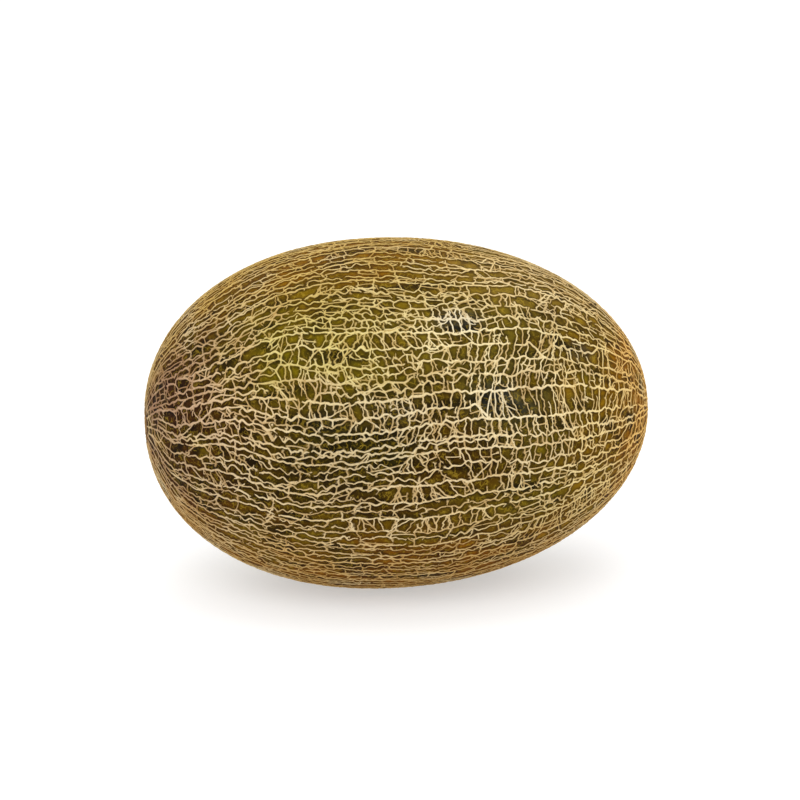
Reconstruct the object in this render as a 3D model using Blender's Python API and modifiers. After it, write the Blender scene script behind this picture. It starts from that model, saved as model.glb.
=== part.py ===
"""A whole oval netted melon, lying on its side on the small flat spot that it rests on.

Metres, +Z up. The fruit is one turned body. Its axis is level and runs along X, with the stem
end at +X and the blossom end at -X. The origin is on the ground, under the middle of the
fruit's length. The surface is the outside of the rind, measured over the tops of its net.
"""

import math

import bpy

NAME = "melon"

# Driving dimensions of the fruit
LENGTH = 0.260  # from the blossom end to the stem end
DIAMETER = 0.180  # across the widest place
BLOSSOM_SHARE = 0.475  # share of the length that lies on the blossom side of the widest place
BLOSSOM_FULLNESS = 2.15  # power of the superellipse of the blunt half, where 2 is an ellipse
STEM_FULLNESS = 2.05  # the same for the more pointed half
SPOT_DEPTH = 0.0012  # how far the ground pressed the resting spot in

# The two scars, each a shallow round hollow at a pole
STEM_SCAR_RADIUS = 0.008
STEM_SCAR_DEPTH = 0.0016
BLOSSOM_SCAR_RADIUS = 0.006
BLOSSOM_SCAR_DEPTH = 0.0005

# How finely the body is divided
STEPS_AROUND = 64
STEPS_ALONG_HALF = 20
SCAR_RINGS = 4

# Worked out from the driving dimensions
RADIUS = DIAMETER / 2
BLOSSOM_LENGTH = LENGTH * BLOSSOM_SHARE
STEM_LENGTH = LENGTH - BLOSSOM_LENGTH

# The block that cuts the resting spot
GROUND_WIDTH = 0.12
GROUND_THICKNESS = 0.02

RIND_COLOUR = (0.33, 0.24, 0.09, 1.0)
RIND_ROUGHNESS = 0.7


def clear_scene():
    for thing in list(bpy.data.objects):
        bpy.data.objects.remove(thing, do_unlink=True)


def new_collection(name):
    collection = bpy.data.collections.new(name)
    bpy.context.scene.collection.children.link(collection)
    return collection


def rind_material():
    material = bpy.data.materials.new("netted_rind")
    material.use_nodes = True
    shader = material.node_tree.nodes["Principled BSDF"]
    shader.inputs["Base Color"].default_value = RIND_COLOUR
    shader.inputs["Roughness"].default_value = RIND_ROUGHNESS
    shader.inputs["Metallic"].default_value = 0.0
    return material


def scar_hollow(radius, scar_radius, scar_depth):
    """How far the scar lowers the surface at this distance from the pole."""
    if radius >= scar_radius:
        return 0.0
    return scar_depth * (1 + math.cos(math.pi * radius / scar_radius)) / 2


def half_outline(half_length, fullness, scar_radius, scar_depth):
    """One half of the outline, from its pole to just before the widest place.

    Each point is its distance from the axis and its distance from the widest place. The rings
    of the scar come first, then even steps around the superellipse.
    """
    points = []
    for ring in range(SCAR_RINGS):
        radius = scar_radius * ring / SCAR_RINGS
        ellipse = half_length * (1 - (radius / RADIUS) ** fullness) ** (1 / fullness)
        points.append((radius, ellipse - scar_hollow(radius, scar_radius, scar_depth)))
    first = math.asin((scar_radius / RADIUS) ** (fullness / 2))
    for step in range(STEPS_ALONG_HALF):
        angle = first + (math.pi / 2 - first) * step / STEPS_ALONG_HALF
        radius = RADIUS * math.sin(angle) ** (2 / fullness)
        points.append((radius, half_length * math.cos(angle) ** (2 / fullness)))
    return points


def fruit_outline():
    """The whole outline from the stem pole down to the blossom pole, centred on its length."""
    stem_half = half_outline(STEM_LENGTH, STEM_FULLNESS, STEM_SCAR_RADIUS, STEM_SCAR_DEPTH)
    blossom_half = half_outline(
        BLOSSOM_LENGTH, BLOSSOM_FULLNESS, BLOSSOM_SCAR_RADIUS, BLOSSOM_SCAR_DEPTH
    )
    outline = list(stem_half)
    outline.append((RADIUS, 0.0))
    outline.extend((radius, -along) for radius, along in reversed(blossom_half))
    heights = [along for _, along in outline]
    middle = (max(heights) + min(heights)) / 2
    return [(radius, along - middle) for radius, along in outline]


def turned_fruit(collection):
    """The outline turned about its own axis, then laid down so that the axis lies along X."""
    outline = fruit_outline()
    points = [(radius, 0.0, along) for radius, along in outline]
    edges = [(number, number + 1) for number in range(len(points) - 1)]
    mesh = bpy.data.meshes.new(NAME)
    mesh.from_pydata(points, edges, [])
    fruit = bpy.data.objects.new(NAME, mesh)
    collection.objects.link(fruit)
    screw = fruit.modifiers.new("turn", "SCREW")
    screw.axis = "Z"
    screw.angle = 2 * math.pi
    screw.steps = STEPS_AROUND
    screw.render_steps = STEPS_AROUND
    screw.use_merge_vertices = True
    screw.merge_threshold = 0.00005
    screw.use_smooth_shade = True
    fruit.rotation_euler = (0.0, math.pi / 2, 0.0)
    fruit.location = (0.0, 0.0, RADIUS - SPOT_DEPTH)
    fruit.data.materials.append(rind_material())
    return fruit


def ground_cutter(collection):
    """A block whose top is the ground. It trims the fruit to its flat resting spot."""
    bpy.ops.mesh.primitive_cube_add(size=1.0, location=(0.0, 0.0, -GROUND_THICKNESS / 2))
    block = bpy.context.active_object
    block.name = "ground_cutter"
    block.scale = (GROUND_WIDTH, GROUND_WIDTH, GROUND_THICKNESS)
    bpy.ops.object.transform_apply(location=False, rotation=False, scale=True)
    for owner in list(block.users_collection):
        owner.objects.unlink(block)
    collection.objects.link(block)
    block.hide_render = True
    block.display_type = "WIRE"
    return block


def press_resting_spot(fruit, block):
    cut = fruit.modifiers.new("resting_spot", "BOOLEAN")
    cut.operation = "DIFFERENCE"
    cut.solver = "EXACT"
    cut.object = block


def build():
    clear_scene()
    parts = new_collection(NAME)
    cutters = new_collection("cutters")
    fruit = turned_fruit(parts)
    press_resting_spot(fruit, ground_cutter(cutters))


build()
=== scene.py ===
"""The looks of a whole oval netted melon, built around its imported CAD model.

The rind is one mesh. Its form is the fruit's turned outline, and its net is real relief: a
seeded drawing lays cords of raised cork over the rind, and the points of the mesh follow the
crest, the shoulders and the feet of every cord.

A place on the rind is given by two numbers. "along" is the distance in metres over the rind from
the blossom pole at -X towards the stem pole at +X. "around" is the angle about the fruit's axis
in radians, 0 at the front (-Y) and rising towards the top.
"""

import math
from collections import namedtuple

import bpy
import numpy as np
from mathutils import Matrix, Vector
from mathutils.geometry import delaunay_2d_cdt
from mathutils.kdtree import KDTree


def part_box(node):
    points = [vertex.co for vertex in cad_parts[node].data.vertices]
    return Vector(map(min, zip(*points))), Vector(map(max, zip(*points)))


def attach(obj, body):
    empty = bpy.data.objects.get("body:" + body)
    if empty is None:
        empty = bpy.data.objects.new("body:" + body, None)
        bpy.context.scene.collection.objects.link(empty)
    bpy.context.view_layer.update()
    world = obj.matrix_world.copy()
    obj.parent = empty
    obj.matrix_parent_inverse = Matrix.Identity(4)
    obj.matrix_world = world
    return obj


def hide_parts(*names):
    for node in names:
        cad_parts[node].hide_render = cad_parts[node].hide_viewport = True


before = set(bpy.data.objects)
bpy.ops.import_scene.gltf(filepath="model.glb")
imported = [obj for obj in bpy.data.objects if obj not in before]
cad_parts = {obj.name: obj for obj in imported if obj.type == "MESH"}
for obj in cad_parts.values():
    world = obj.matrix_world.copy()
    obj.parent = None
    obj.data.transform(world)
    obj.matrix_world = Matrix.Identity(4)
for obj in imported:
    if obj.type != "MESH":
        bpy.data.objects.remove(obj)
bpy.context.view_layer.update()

MM = 0.001
TURN = 2 * math.pi
SEED = 41

# The fruit's outline, as in the CAD model. Its width and its place come from the CAD model's box.
LENGTH = 260 * MM
BLOSSOM_SHARE = 0.475
BLOSSOM_FULLNESS = 2.15
STEM_FULLNESS = 2.05
STEM_SCAR_RADIUS = 8 * MM
STEM_SCAR_DEPTH = 1.6 * MM
BLOSSOM_SCAR_RADIUS = 6 * MM
BLOSSOM_SCAR_DEPTH = 0.5 * MM
SPOT_ROUNDING = 0.5 * MM

# The strands are the long cords of the net, which run from pole to pole.
STRANDS = 144
STATION = 0.6 * MM  # between the places where a strand's angle is stored
FIRST_OUT = 11 * MM  # how far from the axis they start and end
STRAND_GAP = 4.6 * MM
LADDER_EXTRA_GAP = 6.5 * MM
SMALL_LADDER_EXTRA_GAP = 4.0 * MM
COMBED_LESS_GAP = 0.5 * MM
CLOSEST_STRANDS = 0.3  # share of an even gap that two of them keep between them
DROP_ORDER = (0, 4, 2, 6, 1, 5, 3, 7)  # eight neighbours' ranks, of which 7 drops out first

# How far the strands stray from their even places, and over what length
SWAY = (1.8 * MM, 85 * MM)
END_SWAY = (1.6 * MM, 26 * MM)
WANDER = ((0.4 * MM, 55 * MM), (0.36 * MM, 20 * MM), (0.4 * MM, 8 * MM), (0.28 * MM, 4.2 * MM))

# A strand of rank 0 is the widest and the palest, and one of rank 1 is smaller by these falls.
STRAND_SIZE = 1.23
SIZE_FALL = 0.53
TONE_FALL = 0.42

# The rungs are the short cords between two strands.
RUNG_SPACING = 7.6 * MM
CELLED_SPACING = 4.4 * MM
COMBED_SPACING = 15 * MM
LADDER_SPACING = 2.3 * MM
NARROW_GAP = 1.9 * MM  # strands closer than this have no rungs between them
WIDE_GAP = 6.5 * MM
WIDE_GAP_SPACING = 2.8 * MM
DANGLING = 0.2  # share of the rungs that stop part of the way over
DANGLING_OR_FORKED = 0.36
LUMPS = 0.35  # share of a cord's height that its dips may take away

# How finely the mesh follows the net. It has lines along each cord, at these shares of the way
# from the crest to a foot.
MESH_LINES = (0.38, -0.38, 1.0, -1.0)
CORD_STEP = 0.85 * MM
STAMP_STEP = 0.28 * MM
CLOSEST = 0.26 * MM
SKIN_STEP = 1.3 * MM
END_SKIN_STEP = 0.7 * MM
END_ZONE = 14 * MM
RING_STEP = 0.5 * MM
RING_TO_CORD = 0.2 * MM
RING_TO_SKIN = 0.4 * MM
CORD_TO_SKIN = 0.62 * MM

# The flat map for colour bakes
END_DISC = 62 * MM
MAP_MARGIN = 5 * MM

# Zones of the rind: metres along X from the middle, degrees up from the front, then how far
# each one reaches, in metres and in degrees.
LADDERS = (
    (0.064, 16, 0.058, 27),
    (-0.030, 170, 0.040, 24),
    (0.050, 238, 0.030, 20),
)
SMALL_LADDERS = (
    (0.074, -34, 0.034, 7),
    (0.018, 43, 0.014, 6),
    (-0.030, 14, 0.026, 4.5),
    (-0.058, 24, 0.012, 5),
    (-0.070, 118, 0.022, 8),
    (0.060, 140, 0.024, 8),
    (-0.060, 225, 0.022, 8),
)
COMBED = (
    (-0.050, -26, 0.090, 28),
    (0.000, 80, 0.120, 32),
    (0.010, 215, 0.060, 22),
)
CELLED = (
    (-0.020, 34, 0.050, 20),
    (0.060, 190, 0.040, 24),
    (-0.080, 255, 0.040, 24),
)

# Where the strands climb towards the stem end: the same four numbers, then the climb in metres.
CLIMBS = ((0.030, -34, 0.050, 26, 3.5 * MM),)

# A cord has places, a half width at each, its kind and its tone, from 0 for tan to 1 for cream.
# A kind says how wide and high such cords are.
Cord = namedtuple("Cord", "along around half_width kind tone")
Kind = namedtuple("Kind", "half_width height")
STRAND = Kind(0.57 * MM, 0.55 * MM)
RUNG = Kind(0.44 * MM, 0.42 * MM)


# ---------------------------------------------------------------- the fruit's form


class Fruit:
    """The turned body of the fruit, read by distance along the rind from the blossom pole."""

    FINENESS = 6001

    def __init__(self, low, high):
        self.radius = (high.y - low.y) / 2
        self.axis_height = high.z - self.radius
        angle = np.linspace(0.0, math.pi, self.FINENESS)
        blossom = angle < math.pi / 2
        fullness = np.where(blossom, BLOSSOM_FULLNESS, STEM_FULLNESS)
        share = np.where(blossom, -BLOSSOM_SHARE, 1 - BLOSSOM_SHARE)
        out = self.radius * np.abs(np.sin(angle)) ** (2 / fullness)
        x = LENGTH * share * np.abs(np.cos(angle)) ** (2 / fullness)
        x += scar_hollow(out, BLOSSOM_SCAR_RADIUS, BLOSSOM_SCAR_DEPTH) * blossom
        x -= scar_hollow(out, STEM_SCAR_RADIUS, STEM_SCAR_DEPTH) * ~blossom
        x += (high.x + low.x) / 2 - (x.max() + x.min()) / 2
        step = np.hypot(np.diff(x), np.diff(out))
        self._along = np.concatenate([[0.0], np.cumsum(step)])
        self._x = x
        self._out = out
        self._slope_x = np.gradient(x, self._along)
        self._slope_out = np.gradient(out, self._along)
        self.whole = self._along[-1]
        self.widest = self._along[np.argmax(out)]
        # In a flat drawing whose radius grows as this one's exponent, every angle stays true.
        middle = (out[1:] + out[:-1]) / 2
        spread = np.concatenate([[0.0], np.cumsum(step / np.maximum(middle, 1e-9))])
        self._spread = spread - np.interp(self.widest, self._along, spread)

    def out(self, along):
        """Distance of the rind from the axis."""
        return np.interp(along, self._along, self._out)

    def x(self, along):
        return np.interp(along, self._along, self._x)

    def spread(self, along):
        return np.interp(along, self._along, self._spread)

    def normal(self, along, around):
        """The direction that points out of the fruit."""
        slope_x = np.interp(along, self._along, self._slope_x)
        slope_out = np.interp(along, self._along, self._slope_out)
        return np.stack(
            [-slope_out, -slope_x * np.cos(around), slope_x * np.sin(around)], axis=-1
        )

    def surface(self, along, around):
        """Points over the tops of the net, flattened where the fruit rests on the ground."""
        out = self.out(along)
        height = self.axis_height + out * np.sin(around)
        bend = np.clip(1 - np.abs(height) / SPOT_ROUNDING, 0, None)
        height = np.maximum(height, 0) + bend**2 * SPOT_ROUNDING / 4
        return np.stack([self.x(along), -out * np.cos(around), height], axis=-1)


def scar_hollow(out, radius, depth):
    """How far a scar lowers the rind at this distance from its pole."""
    inside = np.clip(out / radius, 0, 1)
    return depth * (1 + np.cos(math.pi * inside)) / 2


# ---------------------------------------------------------------- smooth seeded noise


def line_noise(rng, count, wavelength, places):
    """Smooth noise of unit spread along a line, one row for each of count lines."""
    waves = 6
    total = np.zeros((count, len(places)))
    for _ in range(waves):
        length = wavelength * rng.uniform(0.65, 1.5, (count, 1))
        phase = rng.uniform(0, TURN, (count, 1))
        total += np.sin(TURN * places / length + phase)
    return total * math.sqrt(2 / waves)


class SpaceNoise:
    """Smooth noise of unit spread in space."""

    WAVES = 16

    def __init__(self, rng, wavelength):
        way = rng.normal(size=(self.WAVES, 3))
        way /= np.linalg.norm(way, axis=1, keepdims=True)
        length = wavelength * rng.uniform(0.65, 1.5, (self.WAVES, 1))
        self._way = way * TURN / length
        self._phase = rng.uniform(0, TURN, self.WAVES)

    def __call__(self, points):
        waves = np.sin(points @ self._way.T + self._phase)
        return waves.sum(axis=-1) * math.sqrt(2 / self.WAVES)


def zone_weight(zones, x, around):
    """How strongly a place belongs to the nearest of these zones, from 0 to 1."""
    best = np.zeros(np.broadcast(x, around).shape)
    for middle_x, middle_deg, reach_x, reach_deg in zones:
        turn = np.degrees(around) - middle_deg
        turn = (turn + 180) % 360 - 180
        far = ((x - middle_x) / reach_x) ** 2 + (turn / reach_deg) ** 2
        best = np.maximum(best, np.exp(-0.7 * far**1.5))
    return best


def ease(share):
    return share * share * (3 - 2 * share)


# ---------------------------------------------------------------- the drawing of the net


class Strands:
    """The long strands that run from pole to pole, as angles at even stations along the rind."""

    def __init__(self, rng, fruit):
        self.fruit = fruit
        near_pole = np.linspace(0, 0.05, 500)
        first = np.interp(FIRST_OUT, fruit.out(near_pole), near_pole)
        self.along = np.arange(first, fruit.whole - first, STATION)
        self.out = fruit.out(self.along)
        # The strands of low rank are there wherever the net thins out.
        self.rank = np.array(DROP_ORDER * (STRANDS // len(DROP_ORDER))) / len(DROP_ORDER)
        self.around = self._wander(rng)
        self._keep_in_order()
        self.x = np.broadcast_to(fruit.x(self.along), self.around.shape)
        self.points = self._surface(self.around)
        self.present = self._thin_out(rng)
        self._find_neighbours()

    def _surface(self, around):
        return self.fruit.surface(np.broadcast_to(self.along, around.shape), around)

    def _wander(self, rng):
        """The strands' angles, which stray less where the fruit is narrow."""
        number = np.arange(STRANDS)[:, None]
        even = TURN * (number + rng.uniform(-0.2, 0.2, (STRANDS, 1))) / STRANDS
        even = np.broadcast_to(even, (STRANDS, len(self.along)))
        points = self._surface(even)
        size, wavelength = SWAY
        shift = size * SpaceNoise(rng, wavelength)(points)
        # The main strands are the straightest.
        calm = 0.7 + 0.6 * self.rank[:, None]
        for size, wavelength in WANDER:
            shift = shift + size * calm * line_noise(rng, STRANDS, wavelength, self.along)
        size, wavelength = END_SWAY
        near_end = self.out < 0.5 * self.fruit.radius
        shift = shift + size * SpaceNoise(rng, wavelength)(points) * near_end
        for middle_x, middle_deg, reach_x, reach_deg, climb in CLIMBS:
            turn = (np.degrees(even) - middle_deg + 180) % 360 - 180
            here = np.exp(-((turn / reach_deg) ** 2))
            shift = shift + climb * here * np.tanh((self.fruit.x(self.along) - middle_x) / reach_x)
        narrow = np.clip(1.4 * self.out / self.fruit.radius, 0.3, 1)
        return even + shift * narrow / self.out

    def _keep_in_order(self):
        """Strands that would cross run side by side instead, and part again later."""
        closest = CLOSEST_STRANDS * TURN / STRANDS
        for _ in range(12):
            for first in (0, 1):
                left = np.arange(first, STRANDS, 2)
                right = (left + 1) % STRANDS
                turn = np.where(right == 0, TURN, 0.0)[:, None]
                gap = self.around[right] + turn - self.around[left]
                overlap = np.minimum(gap - closest, 0) / 2
                self.around[left] += overlap
                self.around[right] -= overlap

    def _thin_out(self, rng):
        """Where the net is open, only some of the strands are there."""
        mood = SpaceNoise(rng, 60 * MM)(self.points)
        wanted = STRAND_GAP * np.exp(0.16 * mood)
        wanted += LADDER_EXTRA_GAP * zone_weight(LADDERS, self.x, self.around)
        wanted += SMALL_LADDER_EXTRA_GAP * zone_weight(SMALL_LADDERS, self.x, self.around)
        wanted -= COMBED_LESS_GAP * zone_weight(COMBED, self.x, self.around)
        # The net is finer towards the stem end.
        fine = np.where(self.along > self.fruit.widest, self.out / self.fruit.radius, 1.0)
        wanted *= 0.7 + 0.3 * fine
        density = TURN * self.out / (STRANDS * wanted)
        present = (self.rank + rng.uniform(-0.1, 0.1, STRANDS))[:, None] < density
        for row in present:
            settle(row, True, 8 * MM)
            settle(row, False, 12 * MM)
        return present

    def _find_neighbours(self):
        self.above = np.full(self.present.shape, -1)
        self.below = np.full(self.present.shape, -1)
        for station in range(len(self.along)):
            there = np.flatnonzero(self.present[:, station])
            self.above[there, station] = np.roll(there, -1)
            self.below[there, station] = np.roll(there, 1)

    def station(self, along):
        number = int(round((along - self.along[0]) / STATION))
        return min(max(number, 0), len(self.along) - 1)

    def gap_above(self, number, station):
        """The way over the rind to the strand above, or 0 where there is none."""
        friend = self.above[number, station]
        if friend < 0:
            return 0.0
        turn = angle_between(self.around[number, station], self.around[friend, station])
        return turn * self.out[station]


def runs_of(row):
    """The first and last numbers of each unbroken run of True."""
    edges = np.flatnonzero(np.diff(np.concatenate([[0], row.astype(int), [0]])))
    return [(start, end - 1) for start, end in zip(edges[::2], edges[1::2])]


def settle(row, fill, shortest):
    """Turns gaps in the row that are too short into fill, in place. The row's ends stay."""
    for start, end in runs_of(~row if fill else row):
        inner = start > 0 and end < len(row) - 1
        if inner and (end - start + 1) * STATION < shortest:
            row[start : end + 1] = fill


def strand_cords(rng, strands):
    """Each stretch of each strand, with its ends bent over to a neighbour."""
    cords = []
    width = 1 + 0.13 * line_noise(rng, STRANDS, 14 * MM, strands.along)
    width *= rng.uniform(0.85, 1.1, (STRANDS, 1)) * (STRAND_SIZE - SIZE_FALL * strands.rank[:, None])
    for number, row in enumerate(strands.present):
        for start, end in runs_of(row):
            along = strands.along[start : end + 1]
            around = strands.around[number, start : end + 1]
            wide = width[number, start : end + 1]
            for at_end in (True, False):
                bend = bent_end(rng, strands, number, end if at_end else start, at_end)
                if bend is None:
                    continue
                more_along, more_around = bend
                more_wide = np.full(len(more_along), wide[-1] if at_end else wide[0])
                if at_end:
                    along = np.concatenate([along, more_along])
                    around = np.concatenate([around, more_around])
                    wide = np.concatenate([wide, more_wide])
                else:
                    along = np.concatenate([more_along[::-1], along])
                    around = np.concatenate([more_around[::-1], around])
                    wide = np.concatenate([more_wide, wide])
            tone = rng.uniform(0.5, 1.15) - TONE_FALL * strands.rank[number]
            cords += broken(rng, Cord(along, around, STRAND.half_width * wide, STRAND, tone))
    return cords


def broken(rng, cord):
    """The cord as a row of long pieces, which thin out at the short gaps between them."""
    pieces = []
    start = 0
    while start < len(cord.along):
        count = int((rng.exponential(45) + 9) * MM / STATION)
        end = min(start + count, len(cord.along))
        if len(cord.along) - end < 6 * MM / STATION:
            end = len(cord.along)
        places = np.arange(end - start)
        from_gap = np.full(end - start, len(cord.along))
        if start > 0:
            from_gap = np.minimum(from_gap, places)
        if end < len(cord.along):
            from_gap = np.minimum(from_gap, places[::-1])
        thin = 0.7 + 0.3 * np.clip(from_gap * STATION / (2.5 * MM), 0, 1)
        part = slice(start, end)
        pieces.append(cord._replace(
            along=cord.along[part], around=cord.around[part], half_width=cord.half_width[part] * thin
        ))
        start = end + int(rng.uniform(1.2, 3.2) * MM / STATION)
    return [piece for piece in pieces if len(piece.along) > 4 * MM / STATION]


def bent_end(rng, strands, number, station, forward):
    """The way on from a strand's end to the strand beside it."""
    reach = int(rng.uniform(5, 13) * MM / STATION)
    step = 1 if forward else -1
    last = station + step * reach
    if last < 0 or last >= len(strands.along):
        return None
    beside = strands.above if rng.random() < 0.5 else strands.below
    friend = beside[number, station]
    if friend < 0 or not strands.present[friend, min(station, last) : max(station, last) + 1].all():
        return None
    stations = np.arange(station + step, last + step, step)
    share = ease(np.arange(1, len(stations) + 1) / len(stations))
    gap = angle_between(strands.around[number, stations], strands.around[friend, stations])
    if abs(gap[0]) * strands.out[station] > 9 * MM:
        return None
    return strands.along[stations], strands.around[number, stations] + gap * share


def angle_between(first, second):
    """The turn from the first angle to the second, the short way round."""
    return (second - first + math.pi) % TURN - math.pi


class RungMaker:
    """Short cords that join neighbouring strands across the fruit, like the rungs of a ladder."""

    def __init__(self, rng, strands):
        self.rng = rng
        self.strands = strands
        points = strands.points
        ladder = zone_weight(LADDERS + SMALL_LADDERS, strands.x, strands.around)
        spacing = RUNG_SPACING * np.exp(0.25 * SpaceNoise(rng, 45 * MM)(points))
        spacing += (COMBED_SPACING - spacing) * zone_weight(COMBED, strands.x, strands.around)
        spacing += (CELLED_SPACING - spacing) * zone_weight(CELLED, strands.x, strands.around)
        spacing += (LADDER_SPACING - spacing) * ladder
        self.spacing = spacing
        self.ladder = ladder
        self.slant = 0.22 * SpaceNoise(rng, 50 * MM)(points)
        self.arrivals = [[] for _ in range(STRANDS)]
        self.cords = []

    def make(self):
        for number in range(STRANDS):
            self._walk(number)
        return self.cords

    def _walk(self, number):
        rng, strands = self.rng, self.strands
        place = strands.along[0] + rng.uniform(0, 4 * MM)
        before = None
        while place < strands.along[-1]:
            station = strands.station(place)
            friend = strands.above[number, station]
            gap = strands.gap_above(number, station)
            if gap < NARROW_GAP:
                before = None
                place += 1.2 * MM
                continue
            spacing = self.spacing[number, station]
            if gap > WIDE_GAP:
                spacing = min(spacing, WIDE_GAP_SPACING)
            ladder = self.ladder[number, station]
            if rng.random() < 0.3 + 0.5 * ladder:
                place = self._carried_on(number, place, 0.45 * spacing)
                station = strands.station(place)
            slant = self.slant[number, station] + rng.normal(0, 0.34 - 0.26 * ladder)
            end = strands.station(place + slant * gap)
            if strands.present[number, station] and strands.present[friend, end]:
                rung = self._rung(number, friend, station, end, gap)
                self.arrivals[friend].append(strands.along[end])
                if before is not None:
                    self._link(before, rung, gap, ladder)
                before = rung
            place += spacing * rng.uniform(0.65, 1.4)

    def _carried_on(self, number, place, reach):
        """The place where a rung from the other side arrives, if there is one near."""
        near = [other for other in self.arrivals[number] if abs(other - place) < reach]
        return min(near, key=lambda other: abs(other - place)) if near else place

    def _rung(self, number, friend, station, end, gap):
        rng, strands = self.rng, self.strands
        start_along, end_along = strands.along[station], strands.along[end]
        start_around = strands.around[number, station]
        end_around = start_around + angle_between(start_around, strands.around[friend, end])
        share = np.linspace(0, 1, max(int(gap / (0.4 * MM)), 4))
        bow = rng.normal(0, 0.09) * gap
        turns = share * rng.uniform(0.6, 1.0 + gap / (6 * MM)) + rng.random()
        size = rng.uniform(0.1, 0.32) * MM * (1 + np.clip(gap / (10 * MM), 0, 1))
        swing = size * (np.sin(TURN * turns) + 0.5 * np.sin(TURN * 2.3 * turns))
        along = start_along + (end_along - start_along) * share
        along = along + (4 * bow * share * (1 - share)) + swing * np.sqrt(share * (1 - share)) * 2
        around = start_around + (end_around - start_around) * share
        wide = RUNG.half_width * rng.uniform(0.74, 1.2)
        draw = rng.random()
        if draw < DANGLING and gap > 2.8 * MM:
            self._dangle(along, around, wide)
        elif draw < DANGLING_OR_FORKED and gap > 4 * MM:
            self._fork(along, around, wide)
        else:
            self._add(along, around, np.full(len(along), wide))
        return along, around

    def _add(self, along, around, wide):
        self.cords.append(Cord(along, around, wide, RUNG, 0.7 * self.rng.random()))

    def _dangle(self, along, around, wide):
        """A rung that stops part of the way over, thinning out."""
        keep = max(int(len(along) * self.rng.uniform(0.35, 0.75)), 3)
        if self.rng.random() < 0.5:
            along, around = along[::-1], around[::-1]
        taper = np.linspace(1, 0.75, keep)
        self._add(along[:keep], around[:keep], wide * taper)

    def _fork(self, along, around, wide):
        """A rung that parts in two before it arrives."""
        if self.rng.random() < 0.5:
            along, around = along[::-1], around[::-1]
        fork = int(len(along) * self.rng.uniform(0.35, 0.6))
        share = ease(np.linspace(0, 1, len(along) - fork))
        part = self.rng.uniform(0.8, 2.0) * MM
        size = np.full(len(along), wide)
        one, other = along.copy(), along.copy()
        one[fork:] += part * share
        other[fork:] -= part * share
        self._add(one, around, size)
        self._add(other[fork:], around[fork:], size[fork:])

    def _link(self, before, after, gap, ladder):
        """A short cord from one rung to the next, which makes two small cells of a long one."""
        rng = self.rng
        run = after[0][0] - before[0][0]
        if gap < 4.0 * MM or run < 1.3 * MM or run > 14 * MM:
            return
        if rng.random() > 0.42 - 0.16 * ladder:
            return
        from_share = rng.uniform(0.3, 0.7)
        to_share = from_share + rng.uniform(-0.2, 0.2)
        start = [values[int(from_share * (len(values) - 1))] for values in before]
        end = [values[int(to_share * (len(values) - 1))] for values in after]
        share = np.linspace(0, 1, max(int(run / (0.4 * MM)), 4))
        along = start[0] + (end[0] - start[0]) * share
        turn = angle_between(start[1], end[1])
        out = self.strands.fruit.out(along)
        bow = rng.normal(0, 0.35) * MM * 4 * share * (1 - share)
        around = start[1] + turn * share + bow / out
        self._add(along, around, np.full(len(along), RUNG.half_width * rng.uniform(0.75, 1.1)))


def diagonal_cords(rng, strands):
    """Slanting cords that leave one strand and join the next one after a while."""
    cords = []
    for number in range(STRANDS):
        place = strands.along[0] + rng.uniform(0, 60 * MM)
        while place < strands.along[-1]:
            start = strands.station(place)
            end = strands.station(place + rng.uniform(7, 20) * MM)
            place += rng.uniform(50, 150) * MM
            friend = strands.above[number, start]
            low, high = start, end + 1
            if friend < 0 or not strands.present[friend, low:high].all():
                continue
            if not strands.present[number, low:high].all():
                continue
            turn = angle_between(strands.around[number, low:high], strands.around[friend, low:high])
            if len(turn) < 6 or not 2.5 * MM < turn[0] * strands.out[start] < 14 * MM:
                continue
            share = ease(np.linspace(0, 1, len(turn)))
            if rng.random() < 0.5:
                share = share[::-1]
            wide = np.full(len(turn), STRAND.half_width * rng.uniform(0.7, 0.95))
            around = strands.around[number, low:high] + turn * share
            cords.append(Cord(strands.along[low:high], around, wide, STRAND, rng.random()))
    return cords


def spur_cords(rng, strands):
    """Short side shoots that end in the open skin."""
    cords = []
    for number in range(STRANDS):
        place = strands.along[0] + rng.uniform(0, 30 * MM)
        while place < strands.along[-1]:
            station = strands.station(place)
            place += rng.uniform(6, 30) * MM
            if not strands.present[number, station]:
                continue
            length = rng.uniform(1.2, 2.8) * MM
            lean = math.radians(rng.uniform(30, 85)) * rng.choice((-1, 1))
            way = rng.choice((-1, 1))
            share = np.linspace(0, 1, 7)
            curl = lean * (1 + rng.normal(0, 0.35) * share)
            along = strands.along[station] + way * length * share * np.cos(curl)
            sideways = length * share * np.sin(curl) / strands.out[station]
            around = strands.around[number, station] + sideways
            wide = RUNG.half_width * rng.uniform(0.8, 1.0) * (1 - 0.25 * share)
            cords.append(Cord(along, around, wide, RUNG, rng.random()))
    return cords


def scar_cords(rng, fruit, at_stem, radius):
    """Cork in and around the round scar at a pole: rings and crooked spokes."""
    cords = []
    for angle in TURN * (np.arange(5) + rng.uniform(-0.2, 0.2, 5)) / 5:
        reach = radius + rng.uniform(2.2, 3.4) * MM
        cords.append(arc_cord(rng, fruit, at_stem, reach, angle, rng.uniform(0.9, 1.5)))
    for _ in range(9):
        reach = radius * rng.uniform(0.35, 1.0)
        cords.append(arc_cord(rng, fruit, at_stem, reach, rng.uniform(0, TURN), rng.uniform(0.5, 1.6)))
    for angle in TURN * (np.arange(11) + rng.uniform(-0.45, 0.45, 11)) / 11:
        start, end = rng.uniform(0.1, 0.7), rng.uniform(0.85, 1.3)
        reach = np.linspace(start, end, 14) * radius
        along = fruit.whole - reach if at_stem else reach
        around = angle + rng.normal(0, 0.2) * np.sin(reach / (1.1 * MM) + angle)
        wide = np.full(len(reach), RUNG.half_width * rng.uniform(0.7, 1.2))
        cords.append(Cord(along, around, wide, RUNG, 0.2))
    return cords


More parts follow.
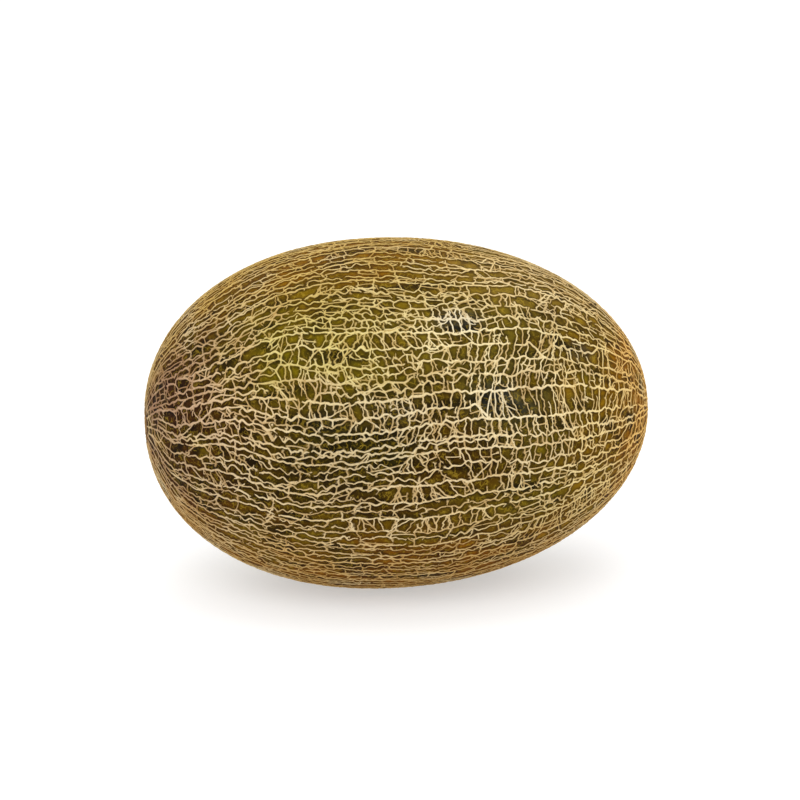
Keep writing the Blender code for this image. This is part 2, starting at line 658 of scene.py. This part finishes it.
def arc_cord(rng, fruit, at_stem, reach, angle, turn):
    """A wavy piece of a ring around a pole."""
    around = angle + turn * np.linspace(-0.5, 0.5, 16)
    reach = reach * (1 + 0.07 * np.sin(3.5 * around + rng.uniform(0, TURN)))
    along = fruit.whole - reach if at_stem else reach
    wide = np.full(len(around), RUNG.half_width * rng.uniform(0.8, 1.25))
    return Cord(along, around, wide, RUNG, 0.3)


def net_cords(rng, fruit):
    strands = Strands(rng, fruit)
    cords = strand_cords(rng, strands)
    cords += RungMaker(rng, strands).make()
    cords += diagonal_cords(rng, strands)
    cords += spur_cords(rng, strands)
    cords += scar_cords(rng, fruit, False, BLOSSOM_SCAR_RADIUS)
    cords += scar_cords(rng, fruit, True, STEM_SCAR_RADIUS)
    return cords


# ---------------------------------------------------------------- the mesh of the rind


def resampled(fruit, cord, step):
    """The cord's places at even steps, with its half width there."""
    out = fruit.out(cord.along)
    run_out = (out[1:] + out[:-1]) / 2
    lengths = np.hypot(np.diff(cord.along), np.diff(cord.around) * run_out)
    travelled = np.concatenate([[0.0], np.cumsum(lengths)])
    places = np.linspace(0, travelled[-1], max(int(travelled[-1] / step) + 1, 2))
    return [np.interp(places, travelled, values) for values in cord[:3]]


def cord_points(fruit, cords):
    """Mesh points on the crest, the shoulders and the feet of every cord, crests first."""
    layers = {side: [] for side in MESH_LINES}
    for cord in cords:
        along, around, wide = resampled(fruit, cord, CORD_STEP)
        out = fruit.out(along)
        run_along = np.gradient(along)
        run_around = np.gradient(around) * out
        length = np.maximum(np.hypot(run_along, run_around), 1e-9)
        for side in MESH_LINES:
            aside = side * wide / length
            row = (along - aside * run_around, around + aside * run_along / out)
            layers[side].append(row)
    rows = [row for side in MESH_LINES for row in layers[side]]
    return np.concatenate([np.stack(row, axis=1) for row in rows])


def skin_points(fruit):
    """Mesh points spread evenly over the whole rind."""
    rows = [np.array([[0.0, 0.0], [fruit.whole, 0.0]])]
    along = END_SKIN_STEP
    number = 0
    while along < fruit.whole - END_SKIN_STEP / 2:
        near_end = min(along, fruit.whole - along) < END_ZONE
        step = END_SKIN_STEP if near_end else SKIN_STEP
        count = max(int(TURN * fruit.out(along) / step), 5)
        around = TURN * (np.arange(count) + 0.5 * (number % 2)) / count
        rows.append(np.stack([np.full(count, along), around], axis=1))
        along += step * 0.87
        number += 1
    return np.concatenate(rows)


def unwrapped(around):
    return (around + math.pi) % TURN - math.pi


def thinned(fruit, places, closest):
    """One point for each small cell of space, the first that comes."""
    points = fruit.surface(places[:, 0], places[:, 1])
    cells = np.floor(points / closest).astype(np.int64)
    cells -= cells.min(axis=0)
    size = cells.max(axis=0) + 1
    keys = (cells[:, 0] * size[1] + cells[:, 1]) * size[2] + cells[:, 2]
    _, first = np.unique(keys, return_index=True)
    return places[np.sort(first)]


def tree_of(points):
    tree = KDTree(len(points))
    for number, point in enumerate(points):
        tree.insert(point, number)
    tree.balance()
    return tree


def mesh_places(fruit, cords):
    """Every mesh point as along and around, and how many at the start lie on the middle ring."""
    ring_count = int(TURN * fruit.radius / RING_STEP)
    ring = np.stack(
        [np.full(ring_count, fruit.widest), TURN * np.arange(ring_count) / ring_count], axis=1
    )
    lines = thinned(fruit, cord_points(fruit, cords), CLOSEST)
    lines = lines[np.abs(lines[:, 0] - fruit.widest) > RING_TO_CORD]
    skin = skin_points(fruit)
    skin = skin[np.abs(skin[:, 0] - fruit.widest) > RING_TO_SKIN]
    tree = tree_of(fruit.surface(lines[:, 0], lines[:, 1]))
    far = [tree.find(point)[2] > CORD_TO_SKIN for point in fruit.surface(skin[:, 0], skin[:, 1])]
    places = np.concatenate([ring, lines, skin[np.array(far)]])
    places[:, 1] = unwrapped(places[:, 1])
    return places, ring_count


def stamped(fruit, cords, points):
    """What the cords leave on each point.

    relief is how high the net stands there, cover how far up its cord the point is, from 0 to 1,
    and tone that cord's tone.
    """
    tree = tree_of(points)
    relief, cover, tone = np.zeros((3, len(points)))
    for cord in cords:
        along, around, wide = resampled(fruit, cord, STAMP_STEP)
        for point, half in zip(fruit.surface(along, around), wide):
            for _, number, away in tree.find_range(point, half):
                rise = max(1 - (away / half) ** 2, 0.0) ** 0.6
                if rise > cover[number]:
                    cover[number] = rise
                    tone[number] = cord.tone
                relief[number] = max(relief[number], rise * cord.kind.height)
    return relief, cover, tone


def hem_distance(points, cover):
    """How far each point of open skin is from the foot of the nearest cord."""
    tree = tree_of(points[cover > 0.3])
    away = np.zeros(len(points))
    for number in np.flatnonzero(cover <= 0.02):
        away[number] = tree.find(points[number])[2]
    return away


def triangles(fruit, places, ring_count):
    """Joins the points, in a flat drawing of each half of the rind that keeps angles true."""
    spread = fruit.spread(places[:, 0])
    faces = []
    for half in (spread < 0, spread > 0):
        half[:ring_count] = True
        chosen = np.flatnonzero(half)
        radius = np.exp(-np.abs(spread[chosen]))
        radius[:ring_count] = 1.0
        flat_x = radius * np.cos(places[chosen, 1])
        flat_y = radius * np.sin(places[chosen, 1])
        flat = [Vector(pair) for pair in zip(flat_x.tolist(), flat_y.tolist())]
        result = delaunay_2d_cdt(flat, [], [], 0, 1e-12, True)
        origin = np.array([chosen[names[0]] for names in result[3]])
        faces.append(origin[np.array(result[2])])
    return np.concatenate(faces)


def facing_out(points, faces, normals):
    """Turns round the faces that look into the fruit."""
    corner, second, third = (points[faces[:, column]] for column in range(3))
    looks = np.cross(second - corner, third - corner)
    inward = (looks * normals[faces[:, 0]]).sum(axis=1) < 0
    faces[inward] = faces[inward][:, ::-1]
    return faces


def rind_object(name, points, faces):
    mesh = bpy.data.meshes.new(name)
    mesh.from_pydata(points.tolist(), [], faces.tolist())
    mesh.shade_smooth()
    rind = bpy.data.objects.new(name, mesh)
    bpy.context.scene.collection.objects.link(rind)
    return rind


def add_bake_map(fruit, rind, places, faces):
    """A flat map for a colour bake: four strips for the sides, and a disc for each end."""
    along, around = places[faces, 0], places[faces, 1]
    middle_along = along.mean(axis=1)[:, None]
    middle_around = around[:, :1] + angle_between(around[:, :1], around).mean(axis=1)[:, None]
    strip = np.floor(middle_around % TURN / (TURN / 4))
    strip_length = fruit.whole - 2 * END_DISC
    strip_width = fruit.radius * TURN / 4
    flat_x = along - END_DISC + (strip % 2) * (strip_length + MAP_MARGIN)
    flat_y = angle_between(strip * TURN / 4, around) * fruit.radius
    flat_y += np.floor(strip / 2) * (strip_width + MAP_MARGIN)
    for at_stem in (False, True):
        reach = fruit.whole - along if at_stem else along
        near = (fruit.whole - middle_along if at_stem else middle_along) < END_DISC
        disc_x = END_DISC * (3 if at_stem else 1) + at_stem * MAP_MARGIN
        disc_y = 2 * (strip_width + MAP_MARGIN) + END_DISC
        flat_x = np.where(near, disc_x + reach * np.cos(around), flat_x)
        flat_y = np.where(near, disc_y + reach * np.sin(around), flat_y)
    flat = np.stack([flat_x, flat_y], axis=-1) + MAP_MARGIN
    side = 2 * strip_length + 3 * MAP_MARGIN
    layer = rind.data.uv_layers.new(name="OFBake")
    layer.uv.foreach_set("vector", (flat / side).astype(np.float32).ravel())


def add_numbers(rind, name, values):
    layer = rind.data.attributes.new(name, "FLOAT", "POINT")
    layer.data.foreach_set("value", np.asarray(values, dtype=np.float32))


def add_colours(rind, name, colours):
    layer = rind.data.attributes.new(name, "FLOAT_COLOR", "POINT")
    opaque = np.ones((len(colours), 4), dtype=np.float32)
    opaque[:, :3] = colours
    layer.data.foreach_set("color", opaque.ravel())


# ---------------------------------------------------------------- the colours of the rind


def linear(red, green, blue):
    """A colour given as 0 to 255 in sRGB, as linear shares for a shader."""
    shares = [value / 255 for value in (red, green, blue)]
    return [s / 12.92 if s <= 0.04045 else ((s + 0.055) / 1.055) ** 2.4 for s in shares]


BROWN_SKIN = linear(72, 46, 0)
OLIVE_SKIN = linear(102, 86, 2)
CREAM_CORK = linear(208, 190, 150)
TAN_CORK = linear(190, 162, 110)
SCAR_BROWN = linear(104, 74, 36)
SCAR_TAN = linear(178, 148, 104)

# Patches of colour: the zone, as above, then the skin's colour, the cork's and their strength.
PATCHES = (
    ((-0.118, 16, 0.034, 70), linear(62, 28, 0), linear(156, 126, 96), 0.95),
    ((-0.106, 35, 0.022, 20), linear(58, 26, 10), linear(154, 120, 98), 0.85),
    ((-0.086, 26, 0.022, 18), linear(58, 30, 4), linear(206, 178, 144), 0.8),
    ((-0.045, 40, 0.042, 24), linear(108, 94, 0), linear(196, 182, 112), 0.9),
    ((0.015, 54, 0.045, 20), linear(110, 90, 6), linear(206, 190, 130), 0.7),
    ((-0.030, 88, 0.090, 30), linear(126, 82, 0), linear(192, 162, 90), 0.85),
    ((-0.020, -6, 0.080, 22), linear(70, 48, 0), linear(208, 188, 148), 0.8),
    ((-0.036, 4, 0.030, 11), linear(44, 42, 2), linear(190, 174, 134), 0.75),
    ((0.032, 36, 0.045, 16), linear(108, 92, 20), linear(222, 206, 158), 0.75),
    ((0.060, 18, 0.040, 15), linear(70, 66, 26), linear(226, 210, 168), 0.75),
    ((0.085, 42, 0.020, 14), linear(66, 62, 22), linear(210, 196, 150), 0.5),
    ((-0.050, -8, 0.022, 9), linear(46, 32, 2), linear(178, 156, 116), 0.75),
    ((0.014, -24, 0.020, 9), linear(92, 72, 12), linear(214, 190, 142), 0.6),
    ((0.070, -24, 0.040, 14), linear(96, 84, 2), linear(210, 192, 136), 0.7),
    ((0.060, 68, 0.040, 14), linear(128, 104, 40), linear(224, 200, 150), 0.6),
    ((0.104, 30, 0.024, 28), linear(142, 110, 0), linear(220, 196, 124), 0.75),
    ((0.106, 0, 0.034, 60), linear(122, 86, 0), linear(222, 198, 138), 0.75),
    ((0.112, -8, 0.018, 12), linear(104, 72, 0), linear(204, 176, 118), 0.6),
    ((0.129, 14, 0.022, 200), linear(154, 92, 0), linear(220, 172, 92), 0.75),
    ((0.000, -62, 0.120, 28), linear(134, 80, 0), linear(186, 150, 88), 0.85),
    ((-0.006, -90, 0.034, 20), linear(158, 128, 60), linear(196, 166, 112), 0.8),
    ((-0.030, 14, 0.026, 5), linear(44, 40, 24), linear(204, 188, 152), 0.8),
    ((0.020, 44, 0.010, 4), linear(52, 54, 50), linear(218, 208, 180), 0.85),
    ((0.041, 17, 0.014, 5), linear(50, 52, 48), linear(220, 208, 176), 0.85),
    ((0.083, 37, 0.007, 4), linear(48, 48, 40), linear(214, 200, 164), 0.7),
)


def painted(fruit, rng, places, points):
    """The colours of the skin and of the cork at each point, before their fine grain."""
    # Their changes are longer along the fruit than across it.
    stretched = points * (0.45, 1.0, 1.0)
    mood = 0.6 * SpaceNoise(rng, 46 * MM)(stretched) + 0.4 * SpaceNoise(rng, 17 * MM)(stretched)
    share = np.clip(0.42 + 0.42 * mood, 0, 1)[:, None]
    skin = BROWN_SKIN + share * (np.array(OLIVE_SKIN) - BROWN_SKIN)
    light = np.clip(0.6 + 0.3 * SpaceNoise(rng, 38 * MM)(points), 0, 1)[:, None]
    cork = TAN_CORK + light * (np.array(CREAM_CORK) - TAN_CORK)
    x = fruit.x(places[:, 0])
    ragged = 0.35 * SpaceNoise(rng, 15 * MM)(stretched)
    for zone, skin_colour, cork_colour, strength in PATCHES:
        weight = zone_weight((zone,), x, places[:, 1])
        weight = np.clip(weight * (1 + ragged), 0, 1)[:, None] * strength
        skin += weight * (np.array(skin_colour) - skin)
        cork += weight * (np.array(cork_colour) - cork)
    # Long dark streaks run from pole to pole.
    streak = SpaceNoise(rng, 8.5 * MM)(points * (0.12, 1.0, 1.0))
    skin *= 1 - 0.75 * ease(np.clip(0.4 * streak + 0.1, 0, 1))[:, None]
    paint_scar(skin, cork, places[:, 0], BLOSSOM_SCAR_RADIUS)
    paint_scar(skin, cork, fruit.whole - places[:, 0], STEM_SCAR_RADIUS)
    return skin, cork


def paint_scar(skin, cork, reach, radius):
    """Makes the scar at a pole dry and brown, and darker in the middle, in place."""
    dry = ease(np.clip(1.6 - reach / radius, 0, 1))[:, None]
    skin += dry * (np.array(SCAR_BROWN) - skin)
    cork += dry * (np.array(SCAR_TAN) - cork)
    skin *= 1 - 0.6 * ease(np.clip(1 - reach / (0.5 * radius), 0, 1))[:, None]


# ---------------------------------------------------------------- the material of the rind


class Nodes:
    """A short way to lay out a material's nodes."""

    def __init__(self, name):
        self.material = bpy.data.materials.new(name)
        self.material.use_nodes = True
        self.tree = self.material.node_tree
        self.shader = self.tree.nodes["Principled BSDF"]

    def join(self, source, target):
        self.tree.links.new(source, target)

    def attribute(self, name, output="Fac"):
        node = self.tree.nodes.new("ShaderNodeAttribute")
        node.attribute_name = name
        return node.outputs[output]

    def coordinates(self):
        return self.tree.nodes.new("ShaderNodeTexCoord").outputs["Object"]

    def noise(self, scale, detail, roughness):
        node = self.tree.nodes.new("ShaderNodeTexNoise")
        node.inputs["Scale"].default_value = scale
        node.inputs["Detail"].default_value = detail
        node.inputs["Roughness"].default_value = roughness
        self.join(self.coordinates(), node.inputs["Vector"])
        return node.outputs["Fac"]

    def steps(self, value, low, high, to_low=0.0, to_high=1.0):
        node = self.tree.nodes.new("ShaderNodeMapRange")
        node.interpolation_type = "SMOOTHSTEP"
        node.inputs["From Min"].default_value = low
        node.inputs["From Max"].default_value = high
        node.inputs["To Min"].default_value = to_low
        node.inputs["To Max"].default_value = to_high
        self.join(value, node.inputs["Value"])
        return node.outputs["Result"]

    def mix(self, share, first, second, blend="MIX"):
        node = self.tree.nodes.new("ShaderNodeMix")
        node.data_type = "RGBA"
        node.blend_type = blend
        self.join(share, node.inputs[0])
        self.join(first, node.inputs[6])
        if isinstance(second, bpy.types.NodeSocket):
            self.join(second, node.inputs[7])
        else:
            node.inputs[7].default_value = second
        return node.outputs[2]

    def shaded(self, share, colour, shade):
        return self.mix(share, colour, shade, "MULTIPLY")

    def web(self, scale, bend):
        """How far a point is from the lines of a fine crooked web, in cell sizes."""
        warp = self.tree.nodes.new("ShaderNodeTexNoise")
        warp.inputs["Scale"].default_value = 1.6 * scale
        self.join(self.coordinates(), warp.inputs["Vector"])
        shift = self.tree.nodes.new("ShaderNodeVectorMath")
        shift.operation = "MULTIPLY_ADD"
        shift.inputs[1].default_value = (bend, bend, bend)
        self.join(warp.outputs["Color"], shift.inputs[0])
        self.join(self.coordinates(), shift.inputs[2])
        cells = self.tree.nodes.new("ShaderNodeTexVoronoi")
        cells.feature = "DISTANCE_TO_EDGE"
        cells.inputs["Scale"].default_value = scale
        self.join(shift.outputs["Vector"], cells.inputs["Vector"])
        return cells.outputs["Distance"]

    def product(self, first, second):
        node = self.tree.nodes.new("ShaderNodeMath")
        node.operation = "MULTIPLY"
        self.join(first, node.inputs[0])
        self.join(second, node.inputs[1])
        return node.outputs[0]

    def bump(self, height, distance):
        node = self.tree.nodes.new("ShaderNodeBump")
        node.inputs["Distance"].default_value = distance
        node.inputs["Strength"].default_value = 1.0
        self.join(height, node.inputs["Height"])
        self.join(node.outputs["Normal"], self.shader.inputs["Normal"])


# Shades are multiplied onto a colour.
SKIN_SHADE = (*linear(205, 200, 190), 1.0)
CREVICE_SHADE = (*linear(150, 138, 110), 1.0)
CORK_SHADE = (*linear(214, 200, 176), 1.0)
GLOOM = (*linear(130, 130, 120), 1.0)
FLECKS = (*linear(150, 124, 34), 1.0)


def rind_material():
    nodes = Nodes("netted_rind")
    cover = nodes.attribute("cover")
    # The skin between the cords has pale flecks, and painted shade darkens it towards their feet.
    skin = nodes.attribute("skin", "Color")
    skin = nodes.shaded(nodes.steps(nodes.noise(160, 4, 0.6), 0.35, 0.7), skin, SKIN_SHADE)
    skin = nodes.shaded(nodes.steps(nodes.noise(95, 3, 0.6), 0.52, 0.7, 0.0, 0.6), skin, GLOOM)
    hairs = nodes.steps(nodes.web(330, 2.4 * MM), 0.02, 0.11, 0.5, 0.0)
    hairs = nodes.product(hairs, nodes.steps(nodes.noise(240, 2, 0.5), 0.4, 0.6))
    skin = nodes.mix(hairs, skin, FLECKS)
    skin = nodes.mix(nodes.steps(nodes.noise(620, 4, 0.6), 0.56, 0.72, 0.0, 0.35), skin, FLECKS)
    # Painted shade: the skin darkens near the feet of the cords, as in the shadow of their sides.
    shade = nodes.steps(nodes.attribute("hem"), 0.4 * MM, 2.0 * MM, 0.7, 0.0)
    skin = nodes.shaded(shade, skin, CREVICE_SHADE)
    # The cords are cream to tan, with a coarse grain.
    cork = nodes.attribute("cork", "Color")
    tan = nodes.steps(nodes.attribute("tone"), 0.0, 0.8, 1.0, 0.0)
    cork = nodes.shaded(tan, cork, CORK_SHADE)
    grain = nodes.steps(nodes.noise(820, 3, 0.6), 0.45, 0.75, 0.0, 0.7)
    cork = nodes.shaded(grain, cork, CORK_SHADE)
    colour = nodes.mix(nodes.steps(cover, 0.05, 0.85), skin, cork)
    nodes.join(colour, nodes.shader.inputs["Base Color"])
    nodes.shader.inputs["Metallic"].default_value = 0.0
    nodes.shader.inputs["Specular IOR Level"].default_value = 0.04
    roughness = nodes.steps(cover, 0.1, 0.6, 0.65, 0.9)
    nodes.join(roughness, nodes.shader.inputs["Roughness"])
    nodes.bump(nodes.noise(1100, 4, 0.6), 0.12 * MM)
    return nodes.material


# ---------------------------------------------------------------- floor, light and camera


def paper_material():
    """White paper that glows with painted light, as if lit from behind, so that shadows on it stay
    pale.
    """
    material = bpy.data.materials.new("floor_paper")
    material.use_nodes = True
    shader = material.node_tree.nodes["Principled BSDF"]
    shader.inputs["Base Color"].default_value = (0.6, 0.6, 0.6, 1.0)
    shader.inputs["Roughness"].default_value = 0.9
    shader.inputs["Specular IOR Level"].default_value = 0.0
    # Painted light: the paper glows, which keeps the shadow under the fruit pale and lights its
    # underside.
    shader.inputs["Emission Color"].default_value = (1.0, 1.0, 1.0, 1.0)
    shader.inputs["Emission Strength"].default_value = 0.45
    return material


def make_floor():
    bpy.ops.mesh.primitive_plane_add(size=12.0, location=(0.0, 0.0, 0.0))
    floor = bpy.context.active_object
    floor.name = "floor"
    floor.data.materials.append(paper_material())


def make_world():
    world = bpy.data.worlds.new("studio")
    world.use_nodes = True
    background = world.node_tree.nodes["Background"]
    background.inputs["Color"].default_value = (1.0, 1.0, 1.0, 1.0)
    background.inputs["Strength"].default_value = 1.1
    bpy.context.scene.world = world


def soft_light(name, place, aim, width, power):
    data = bpy.data.lights.new(name, "AREA")
    data.shape = "DISK"
    data.size = width
    data.energy = power
    light = bpy.data.objects.new(name, data)
    light.location = place
    light.rotation_euler = (Vector(aim) - Vector(place)).to_track_quat("-Z", "Y").to_euler()
    bpy.context.scene.collection.objects.link(light)


def make_lights(middle):
    soft_light("key", (-0.6, -1.6, 1.5), middle, 1.6, 16)
    soft_light("top", (0.2, 0.2, 2.2), middle, 1.8, 8)


CAMERA_DISTANCE = 1.25
CAMERA_AROUND = 9.0  # degrees
CAMERA_UP = 14.0  # degrees
VIEW_WIDTH = 0.411  # what the picture's width takes in at the fruit
AIM_ASIDE = 0.0011  # from the fruit's middle to the picture's middle
AIM_UP = 0.0057
SENSOR_WIDTH = 36.0  # millimetres


def make_camera(middle):
    """Looks along +Y at the fruit's side, a little from above and from its blossom end."""
    around, up = math.radians(CAMERA_AROUND), math.radians(CAMERA_UP)
    back = Vector((-math.sin(around) * math.cos(up), -math.cos(around) * math.cos(up), math.sin(up)))
    data = bpy.data.cameras.new("camera")
    data.sensor_width = SENSOR_WIDTH
    data.lens = SENSOR_WIDTH * CAMERA_DISTANCE / VIEW_WIDTH
    camera = bpy.data.objects.new("camera", data)
    rotation = (-back).to_track_quat("-Z", "Y")
    aim = middle + rotation @ Vector((AIM_ASIDE, AIM_UP, 0.0))
    camera.location = aim + back * CAMERA_DISTANCE
    camera.rotation_euler = rotation.to_euler()
    bpy.context.scene.collection.objects.link(camera)
    bpy.context.scene.camera = camera


# ---------------------------------------------------------------- putting it together


def make_melon(low, high):
    rng = np.random.default_rng(SEED)
    fruit = Fruit(low, high)
    cords = net_cords(rng, fruit)
    places, ring_count = mesh_places(fruit, cords)
    surface = fruit.surface(places[:, 0], places[:, 1])
    normals = fruit.normal(places[:, 0], places[:, 1])
    relief, cover, tone = stamped(fruit, cords, surface)
    relief *= 1 - LUMPS * (0.5 + 0.5 * np.tanh(SpaceNoise(rng, 2.4 * MM)(surface)))
    points = surface - normals * (STRAND.height - relief)[:, None]
    faces = facing_out(points, triangles(fruit, places, ring_count), normals)
    rind = rind_object("netted_rind", points, faces)
    add_bake_map(fruit, rind, places, faces)
    add_numbers(rind, "cover", cover)
    add_numbers(rind, "tone", tone)
    add_numbers(rind, "hem", hem_distance(surface, cover))
    skin, cork = painted(fruit, rng, places, surface)
    add_colours(rind, "skin", skin)
    add_colours(rind, "cork", cork)
    rind.data.materials.append(rind_material())
    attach(rind, "root")
    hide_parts("melon")


low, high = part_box("melon")
centre = (low + high) / 2
make_camera(centre)
make_floor()
make_world()
make_lights(centre)
bpy.context.scene.view_settings.view_transform = "Standard"
make_melon(low, high)
